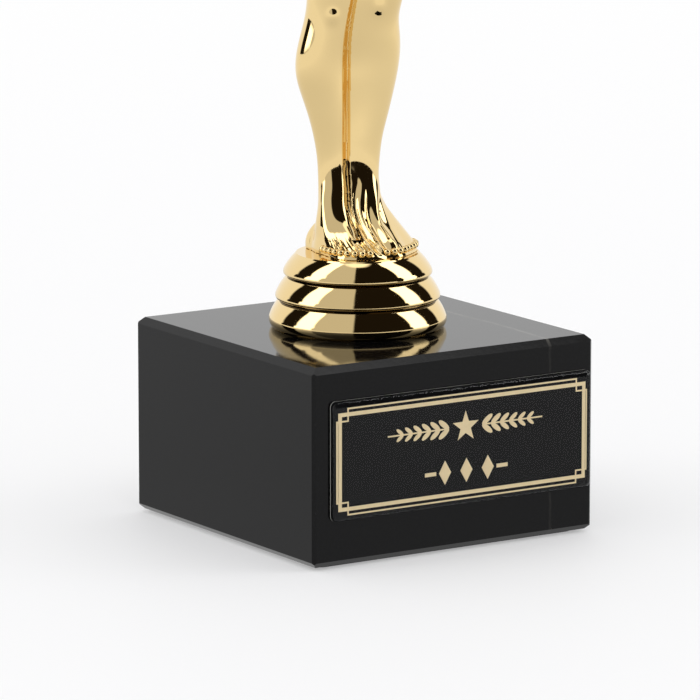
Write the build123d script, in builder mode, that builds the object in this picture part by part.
"""Figure trophy: a gilt figure of a woman in a long gown, holding up a laurel wreath.

She stands on a round three-tier plinth, bolted to a polished black stone block with a domed
nameplate on its front. Millimetres, +Z up. The origin is the centre of the felt's lower face,
and the nameplate faces -Y. Heights inside the figure are above the plinth's flat top. The
plinth, the figure and their fastening are modelled about the block's axis, and finished a
little off it, within the play that the bolt has in the block's bore.
"""

import os
from math import cos, hypot, radians, sin

from build123d import *

# ---- Driving dimensions ----------------------------------------------------------------------

felt_thickness = 0.5
felt_width = 55.0
felt_corner = 1.5
block_width = 60.0
block_top = 36.4
block_top_bevel = 1.2
block_bottom_bevel = 1.0
block_arris = 0.6
plinth_shift = (-0.8, 0.5)

bore_diameter = 7.0
counterbore_diameter = 22.0
counterbore_depth = 10.0

# M5 fastening
stud_diameter = 5.0
stud_foot = 3.0
thread_pitch = 0.8
thread_depth = 0.4
thread_crest = 0.1
thread_root = 0.15
stud_clearance = 1.0
running_gap = 0.05
nut_across_flats = 8.0
nut_height = 4.0
nut_chamfer = 0.3
spring_washer_diameter = 9.2
spring_washer_thickness = 1.2
spring_washer_split = 0.8
flat_washer_diameter = 15.0
flat_washer_thickness = 1.0

plate_width = 55.4
plate_height = 21.5
plate_centre = (1.2, 19.45)
plate_corner = 1.0
adhesive_thickness = 0.15
film_thickness = 0.1
gilding_thickness = 0.08
dome_thickness = 1.15
dome_round = 0.8

# Printed frame and ornament, about the plate's centre
frame_centre = (0.15, -0.2)
bold_frame = (52.3, 17.0)
bold_line = 0.7
fine_frame = (53.7, 19.3)
fine_line = 0.28
corner_notch = 2.2
upper_row = (0.6, 3.3)
lower_row = (0.8, -4.6)
star_points = 5
star_radius = 2.9
star_waist = 0.4
sprig_start = 3.6
sprig_length = 13.0
leaf_pairs = 6
leaf_size = (1.35, 0.5)
leaf_angle = 38
lozenge_spacing = 4.6
lozenge_size = (1.3, 2.2)
lozenge_gap = 0.6
rule_length = 2.4

# Each tier of the plinth, from the lowest: the radius and the height above the block of its
# belly, the lean of its side just above the belly and at its shoulder, in degrees, and the
# height of the shoulder.
plinth_tiers = (
    (16.2, 1.6, 20.0, 38.0, 4.75),
    (15.0, 5.75, 23.0, 42.0, 9.2),
    (13.55, 10.1, 29.0, 46.0, 13.35),
)
belly_curve = 1.5
plinth_height = 13.6
plinth_foot_radius = 15.5
plinth_flat_radius = 11.2
tier_lip = (0.35, 0.45)
groove_depth = 0.35
shoulder_round = 0.25
plinth_wall = 1.7
plinth_boss_radius = 6.2
insert_radius = 3.5
insert_length = 7.5
insert_groove = 0.4
spigot_width = 6.4
spigot_depth = 5.0
spigot_length = 4.0

shell_wall = 1.5
parting_y = 1.8
locating_heights = (52.0, 88.0)
locating_boss_length = 12.0
locating_boss_radius = 2.4
locating_pin_radius = 1.0
locating_pin_length = 2.0
peg_radius = 1.8
peg_length = 4.0

# The gown and torso: height, centre x and y, half width, half depth.
body_sections = (
    (0.0, 0.4, -0.6, 10.3, 8.6),
    (2.0, 0.2, 0.4, 8.8, 7.2),
    (5.0, 0.0, 1.8, 7.0, 5.6),
    (9.0, -0.1, 2.8, 6.0, 4.4),
    (15.0, -0.1, 3.1, 5.7, 3.7),
    (24.0, 0.1, 3.8, 7.6, 4.9),
    (33.6, 0.2, 3.8, 9.2, 5.4),
    (47.0, 0.2, 0.8, 9.3, 5.2),
    (60.0, 0.1, 0.6, 11.6, 6.8),
    (72.0, 0.0, 1.2, 14.6, 8.4),
    (84.0, 0.0, 1.8, 16.6, 9.4),
    (93.0, 0.0, 1.6, 14.0, 8.0),
    (101.0, 0.0, 1.4, 11.6, 6.8),
    (109.0, 0.0, 1.2, 12.6, 7.4),
    (117.0, 0.0, 0.8, 14.2, 8.4),
    (125.0, 0.0, 1.5, 14.4, 6.8),
    (131.0, 0.0, 1.8, 13.0, 5.0),
    (134.5, 0.0, 1.8, 7.0, 4.4),
    (137.0, 0.0, 1.9, 4.8, 4.4),
)
neck_foot_radius = 4.1
neck_top = (144.0, 3.4)
head_height = 151.6
head_y = 0.6
head_half_size = (6.9, 8.2, 10.4)
bun_height = 154.5
bun_y = 9.6
bun_radius = 4.2

shoulder = (14.0, 128.0)
elbow = (23.4, 156.0)
wrist = (15.6, 178.0)
shoulder_radius = 4.0
elbow_radius = 2.9
wrist_radius = 1.8
palm_radius = 2.4

wreath_height = 185.5
wreath_radius = 12.2
wreath_tilt = 35.0
stem_radius = 1.5
garland_radius = 2.6
garland_arc = 136.0
hand_radius = 3.0
hand_width = 6.4

# ---- Derived places --------------------------------------------------------------------------

plinth_top = block_top + plinth_height
plinth_place = Location((*plinth_shift, 0))
counterbore_roof = felt_thickness + counterbore_depth
flat_washer_foot = counterbore_roof - flat_washer_thickness
spring_washer_foot = flat_washer_foot - spring_washer_thickness
nut_foot = spring_washer_foot - nut_height
boss_foot = block_top + 0.5
insert_top = boss_foot + insert_length
stud_top = insert_top - stud_clearance
stud_radius = stud_diameter / 2
pin_hole_radius = locating_pin_radius + running_gap
peg_hole_radius = peg_radius + running_gap

neck_seat = plinth_top + body_sections[-1][0]
locating_points = [(0, plinth_top + height) for height in locating_heights]
rule_shift = lozenge_spacing + lozenge_size[0] + lozenge_gap + rule_length / 2

plate_plane = Plane(
    origin=(plate_centre[0], -block_width / 2, plate_centre[1]),
    x_dir=(1, 0, 0),
    z_dir=(0, -1, 0),
)
film_plane = plate_plane.offset(adhesive_thickness)
print_plane = film_plane.offset(film_thickness)
parting_plane = Plane.XZ.offset(-parting_y)
wreath_plane = Plane(
    origin=(0, parting_y, plinth_top + wreath_height),
    x_dir=(1, 0, 0),
    z_dir=(0, -sin(radians(wreath_tilt)), cos(radians(wreath_tilt))),
)


def finish_piece(piece, name, place=None):
    """Labels a finished piece and writes it as its own STEP file, moved to its place if it has one."""
    finished = piece.part.moved(place) if place else piece.part
    finished.label = name
    export_step(finished, f"parts/{name}.step")
    print(f"{name}: {len(finished.solids())} solid(s), {finished.volume:.1f} mm3")


os.makedirs("parts", exist_ok=True)

# ---- Felt and block --------------------------------------------------------------------------

with BuildPart() as felt_pad:
    with BuildSketch():
        RectangleRounded(felt_width, felt_width, felt_corner)
    extrude(amount=felt_thickness)
finish_piece(felt_pad, "felt_pad")

with BuildPart() as base_block:
    with BuildSketch(Plane.XY.offset(felt_thickness)):
        Rectangle(block_width, block_width)
    extrude(amount=block_top - felt_thickness)
    chamfer(base_block.faces().sort_by(Axis.Z)[-1].edges(), block_top_bevel)
    chamfer(base_block.faces().sort_by(Axis.Z)[0].edges(), block_bottom_bevel)
    chamfer(base_block.edges().filter_by(Axis.Z), block_arris)
    with Locations(Plane(origin=(0, 0, felt_thickness), z_dir=(0, 0, -1))):
        CounterBoreHole(bore_diameter / 2, counterbore_diameter / 2, counterbore_depth)
finish_piece(base_block, "base_block")

# ---- Fastening: stud, nut and washers in the counterbore, insert in the plinth ----------------


def washer(foot, outer_radius, thickness):
    """A ring round the stud, with a little play, at a height above the floor."""
    with BuildPart() as ring:
        with BuildSketch(Plane.XY.offset(foot)):
            Circle(outer_radius)
            Circle(stud_radius + running_gap, mode=Mode.SUBTRACT)
        extrude(amount=thickness)
    return ring


flat_washer = washer(flat_washer_foot, flat_washer_diameter / 2, flat_washer_thickness)
finish_piece(flat_washer, "flat_washer", plinth_place)

with BuildPart() as spring_washer:
    with BuildSketch(Plane.XY.offset(spring_washer_foot)):
        Circle(spring_washer_diameter / 2)
        Circle(stud_radius + running_gap, mode=Mode.SUBTRACT)
        with Locations((spring_washer_diameter / 2, 0)):
            Rectangle(spring_washer_diameter, spring_washer_split, mode=Mode.SUBTRACT)
    extrude(amount=spring_washer_thickness)
finish_piece(spring_washer, "spring_washer", plinth_place)

with BuildPart() as hex_nut:
    with BuildSketch(Plane.XY.offset(nut_foot)):
        RegularPolygon(nut_across_flats / 2, 6, major_radius=False)
        Circle(stud_radius + running_gap, mode=Mode.SUBTRACT)
    extrude(amount=nut_height)
    chamfer(hex_nut.edges().filter_by(Axis.Z), nut_chamfer)
finish_piece(hex_nut, "hex_nut", plinth_place)

thread_turns = int((stud_top - stud_foot) / thread_pitch) - 1
with BuildPart() as stud:
    with BuildSketch(Plane.XZ) as stud_profile:
        with BuildLine():
            thread_points = [(0, stud_foot), (stud_radius - thread_depth, stud_foot)]
            for turn in range(thread_turns):
                crest = stud_foot + (turn + 0.5) * thread_pitch
                root = crest + thread_pitch / 2
                thread_points.append((stud_radius, crest + thread_crest))
                thread_points.append((stud_radius, crest + 2 * thread_crest))
                thread_points.append((stud_radius - thread_depth, root + thread_root))
            thread_points.append((stud_radius - thread_depth, stud_top))
            thread_points.append((0, stud_top))
            Polyline(thread_points, close=True)
        make_face()
    revolve(axis=Axis.Z)
finish_piece(stud, "stud", plinth_place)

with BuildPart() as threaded_insert:
    with BuildSketch(Plane.XZ):
        with BuildLine():
            insert_middle = boss_foot + insert_length / 2
            Polyline(
                (stud_radius + running_gap, boss_foot),
                (insert_radius, boss_foot),
                (insert_radius, insert_middle - insert_groove),
                (insert_radius - insert_groove, insert_middle - insert_groove / 2),
                (insert_radius - insert_groove, insert_middle + insert_groove / 2),
                (insert_radius, insert_middle + insert_groove),
                (insert_radius, insert_top),
                (stud_radius + running_gap, insert_top),
                close=True,
            )
        make_face()
    revolve(axis=Axis.Z)
finish_piece(threaded_insert, "threaded_insert", plinth_place)

# ---- Plinth: hollow moulding in three convex tiers, with a boss for the insert ----------------


def tier_side(tier):
    """A tier's belly, the start of its long side curve, its shoulder, and the curve's direction."""
    belly_radius, belly_height, low_lean, high_lean, shoulder_height = tier
    low, high = radians(low_lean), radians(high_lean)
    side_foot = (
        belly_radius - belly_curve * (1 - cos(low)),
        belly_height + belly_curve * sin(low),
    )
    side_curve = (shoulder_height - side_foot[1]) / (sin(high) - sin(low))
    shoulder_radius = side_foot[0] - side_curve * (cos(low) - cos(high))
    direction = (-sin(low), cos(low))
    return (belly_radius, belly_height), side_foot, (shoulder_radius, shoulder_height), direction


tier_sides = [tier_side(tier) for tier in plinth_tiers]
tier_shoulders = [side[2] for side in tier_sides]


def is_shoulder(corner):
    """Whether a corner of the plinth's profile is the shoulder of one of its tiers."""
    return any(hypot(corner.X - x, corner.Y - y) < shoulder_round / 2 for x, y in tier_shoulders)


with BuildPart() as plinth:
    with BuildSketch(Plane.XZ) as plinth_profile:
        with BuildLine():
            foot = (plinth_foot_radius, 0)
            Line((0, 0), foot)
            for belly, side_foot, tier_shoulder, direction in tier_sides:
                if belly[1] > tier_sides[0][0][1]:
                    foot = (belly[0] - tier_lip[0], belly[1] - tier_lip[1])
                    groove = (previous[0] - groove_depth, (previous[1] + foot[1]) / 2)
                    Polyline(previous, groove, foot)
                TangentArc(belly, foot, tangent=(0, -1))
                TangentArc(belly, side_foot, tangent=(0, 1))
                TangentArc(side_foot, tier_shoulder, tangent=direction)
                previous = tier_shoulder
            Polyline(previous, (plinth_flat_radius, plinth_height), (0, plinth_height), (0, 0))
        make_face()
        fillet(plinth_profile.vertices().filter_by(is_shoulder), shoulder_round)
    revolve(axis=Axis.Z)
    with BuildSketch(Plane.XZ):
        with BuildLine():
            cavity_roof = plinth_height - 2 * plinth_wall
            Polyline(
                (plinth_boss_radius, 0),
                (plinth_foot_radius - plinth_wall, 0),
                (tier_shoulders[0][0] - plinth_wall, tier_shoulders[0][1]),
                (tier_shoulders[1][0] - plinth_wall, tier_shoulders[1][1]),
                (tier_shoulders[2][0] - plinth_wall, cavity_roof),
                (plinth_boss_radius, cavity_roof),
                close=True,
            )
        make_face()
    revolve(axis=Axis.Z, mode=Mode.SUBTRACT)
    with BuildSketch():
        Circle(plinth_boss_radius)
    extrude(amount=boss_foot - block_top, mode=Mode.SUBTRACT)
    with BuildSketch(Plane.XY.offset(boss_foot - block_top)):
        Circle(insert_radius)
    extrude(amount=insert_length, mode=Mode.SUBTRACT)
    with BuildSketch(Plane.XY.offset(plinth_height)):
        with Locations((0, parting_y)):
            Rectangle(spigot_width + 2 * running_gap, spigot_depth + 2 * running_gap)
    extrude(amount=-spigot_length, mode=Mode.SUBTRACT)
    add(plinth.part.moved(Location((0, 0, block_top))), mode=Mode.REPLACE)
finish_piece(plinth, "plinth", plinth_place)

# ---- Nameplate: adhesive, printed film, gilding and clear resin dome --------------------------

with BuildPart() as nameplate_adhesive:
    with BuildSketch(plate_plane):
        RectangleRounded(plate_width, plate_height, plate_corner)
    extrude(amount=adhesive_thickness)
finish_piece(nameplate_adhesive, "nameplate_adhesive")

with BuildPart() as nameplate_film:
    with BuildSketch(film_plane):
        RectangleRounded(plate_width, plate_height, plate_corner)
    extrude(amount=film_thickness)
finish_piece(nameplate_film, "nameplate_film")


def notched_rectangle(width, height):
    """The face of a rectangle with a square notch cut from each corner."""
    with BuildSketch(mode=Mode.PRIVATE) as outline:
        Rectangle(width, height)
        with GridLocations(width, height, 2, 2):
            Rectangle(2 * corner_notch, 2 * corner_notch, mode=Mode.SUBTRACT)
    return outline.sketch


def star():
    """A star with its first point up, its waist at star_waist of its radius."""
    corners = []
    for step in range(2 * star_points):
        reach = star_radius if step % 2 == 0 else star_waist * star_radius
        turn = radians(90 + 180 * step / star_points)
        corners.append((reach * cos(turn), reach * sin(turn)))
    Polygon(*corners, align=None)


def sprig(side):
    """A laurel sprig beside the star: a stem with leaves in pairs, smaller towards its tip."""
    with Locations((side * (sprig_start + sprig_length / 2), 0)):
        Rectangle(sprig_length, fine_line)
    for pair in range(leaf_pairs):
        shrink = 1.0 - 0.4 * pair / leaf_pairs
        length = shrink * leaf_size[0]
        along = sprig_start + pair * (sprig_length - leaf_size[0]) / leaf_pairs
        reach = along + length * cos(radians(leaf_angle))
        for up in (-1, 1):
            with Locations((side * reach, up * length * sin(radians(leaf_angle)))):
                Ellipse(length, shrink * leaf_size[1], rotation=leaf_angle * side * up)


with BuildPart() as nameplate_gilding:
    with BuildSketch(print_plane):
        with Locations(frame_centre):
            Rectangle(bold_frame[0] + bold_line, bold_frame[1] + bold_line)
            Rectangle(bold_frame[0] - bold_line, bold_frame[1] - bold_line, mode=Mode.SUBTRACT)
            add(
                notched_rectangle(*fine_frame)
                - notched_rectangle(fine_frame[0] - 2 * fine_line, fine_frame[1] - 2 * fine_line)
            )
    extrude(amount=gilding_thickness)
    with BuildSketch(print_plane.shift_origin(print_plane.from_local_coords(upper_row))):
        star()
        sprig(-1)
        sprig(1)
    extrude(amount=gilding_thickness)
    with BuildSketch(print_plane.shift_origin(print_plane.from_local_coords(lower_row))):
        with GridLocations(lozenge_spacing, 1, 3, 1):
            Polygon(
                (lozenge_size[0], 0),
                (0, lozenge_size[1]),
                (-lozenge_size[0], 0),
                (0, -lozenge_size[1]),
            )
        with GridLocations(2 * rule_shift, 1, 2, 1):
            Rectangle(rule_length, bold_line)
    extrude(amount=gilding_thickness)
finish_piece(nameplate_gilding, "nameplate_gilding")

with BuildPart() as nameplate_dome:
    with BuildSketch(print_plane):
        RectangleRounded(plate_width, plate_height, plate_corner)
    extrude(amount=dome_thickness)
    fillet(nameplate_dome.faces().sort_by(Axis.Y)[0].edges(), dome_round)
    add(nameplate_gilding.part, mode=Mode.SUBTRACT)
finish_piece(nameplate_dome, "nameplate_dome")

# ---- Figure: gown and torso in two hollow half shells ----------------------------------------


def section_loft(sections, inset):
    """A solid through the body's elliptical sections, drawn in by the inset."""
    with BuildPart() as solid:
        for height, x, y, half_width, half_depth in sections:
            with BuildSketch(Plane.XY.offset(plinth_top + height)):
                with Locations((x, y)):
                    Ellipse(half_width - inset, half_depth - inset)
        loft()
    return solid.part


body_outside = section_loft(body_sections, 0)
body_cavity = section_loft(body_sections[2:-3], shell_wall)

with BuildPart() as figure_body:
    add(body_outside)
    add(body_cavity, mode=Mode.SUBTRACT)
    with BuildSketch(parting_plane):
        with Locations(*locating_points):
            Circle(locating_boss_radius)
    extrude(amount=locating_boss_length, both=True)
    add(body_outside, mode=Mode.INTERSECT)
    with BuildSketch(Plane.XY.offset(plinth_top)):
        with Locations((0, parting_y)):
            Rectangle(spigot_width, spigot_depth)
    extrude(amount=-spigot_length + running_gap)
    for side in (-1, 1):
        with BuildSketch(Plane.YZ.offset(side * (shoulder[0] - peg_length - running_gap))):
            with Locations((parting_y, plinth_top + shoulder[1])):
                Circle(peg_hole_radius)
        extrude(amount=side * 2 * peg_length, mode=Mode.SUBTRACT)
    with BuildSketch(Plane.XY.offset(neck_seat)):
        with Locations((0, parting_y)):
            Circle(peg_hole_radius)
    extrude(amount=-peg_length - running_gap, mode=Mode.SUBTRACT)

with BuildPart() as figure_front_shell:
    add(figure_body.part)
    split(bisect_by=parting_plane, keep=Keep.TOP)
    with BuildSketch(parting_plane):
        with Locations(*locating_points):
            Circle(locating_pin_radius)
    extrude(amount=-locating_pin_length)
finish_piece(figure_front_shell, "figure_front_shell", plinth_place)

with BuildPart() as figure_back_shell:
    add(figure_body.part)
    split(bisect_by=parting_plane, keep=Keep.BOTTOM)
    with BuildSketch(parting_plane):
        with Locations(*locating_points):
            Circle(pin_hole_radius)
    extrude(amount=-locating_pin_length - running_gap, mode=Mode.SUBTRACT)
finish_piece(figure_back_shell, "figure_back_shell", plinth_place)

# ---- Head and neck, plugged into the shoulders -----------------------------------------------

skull = Pos(0, head_y, plinth_top + head_height) * scale(Sphere(1), by=head_half_size)
bun = Pos(0, bun_y, plinth_top + bun_height) * Sphere(bun_radius)
with BuildPart() as figure_head:
    with BuildSketch(Plane.XY.offset(neck_seat)):
        with Locations((0, parting_y)):
            Circle(neck_foot_radius)
    with BuildSketch(Plane.XY.offset(plinth_top + neck_top[0])):
        with Locations((0, parting_y)):
            Circle(neck_top[1])
    loft()
    add(skull)
    add(bun)
    add(body_outside, mode=Mode.SUBTRACT)
    with BuildSketch(Plane.XY.offset(neck_seat)):
        with Locations((0, parting_y)):
            Circle(peg_radius)
    extrude(amount=-peg_length)
finish_piece(figure_head, "figure_head", plinth_place)

# ---- Arms, each with a peg in the shoulder and a hand round the wreath's stem ------------------


def limb(start, end, start_radius, end_radius):
    """A tapered limb between two points of the parting plane, with a round joint at its start."""
    foot = parting_plane.from_local_coords(start)
    direction = parting_plane.from_local_coords(end) - foot
    taper = Cone(
        start_radius,
        end_radius,
        direction.length,
        align=(Align.CENTER, Align.CENTER, Align.MIN),
        mode=Mode.PRIVATE,
    )
    ball = Sphere(start_radius, mode=Mode.PRIVATE)
    return Plane(origin=foot, z_dir=direction) * taper + Pos(foot) * ball


def arm(side):
    """One raised arm; side is -1 for the arm at -X and 1 for the arm at +X."""

    def joint(place):
        return (side * place[0], plinth_top + place[1])

    hand = (side * wreath_radius, plinth_top + wreath_height)
    grip = Plane(
        origin=wreath_plane.from_local_coords((side * wreath_radius, 0)),
        z_dir=wreath_plane.y_dir,
    )
    stem_bore = Torus(wreath_radius, stem_radius + running_gap)
    with BuildPart() as piece:
        add(limb(joint(shoulder), joint(elbow), shoulder_radius, elbow_radius))
        add(limb(joint(elbow), joint(wrist), elbow_radius, wrist_radius))
        add(limb(joint(wrist), hand, wrist_radius, palm_radius))
        add(grip * Cylinder(hand_radius, hand_width, mode=Mode.PRIVATE))
        add(wreath_plane * stem_bore, mode=Mode.SUBTRACT)
        add(body_outside, mode=Mode.SUBTRACT)
        with BuildSketch(Plane.YZ.offset(side * (shoulder[0] - peg_length))):
            with Locations((parting_y, plinth_top + shoulder[1])):
                Circle(peg_radius)
        extrude(amount=side * peg_length)
    return piece


for side, name in ((-1, "right_arm"), (1, "left_arm")):
    finish_piece(arm(side), name, plinth_place)

# ---- Laurel wreath: a ring stem with a garland of leaves between the hands ----------------------

with BuildPart() as laurel_wreath:
    add(wreath_plane * Torus(wreath_radius, stem_radius, mode=Mode.PRIVATE))
    for turn in (90, 270):
        garland = Torus(
            wreath_radius,
            garland_radius,
            major_angle=garland_arc,
            align=None,
            mode=Mode.PRIVATE,
        )
        add(wreath_plane * Rot(Z=turn - garland_arc / 2) * garland)
finish_piece(laurel_wreath, "laurel_wreath", plinth_place)
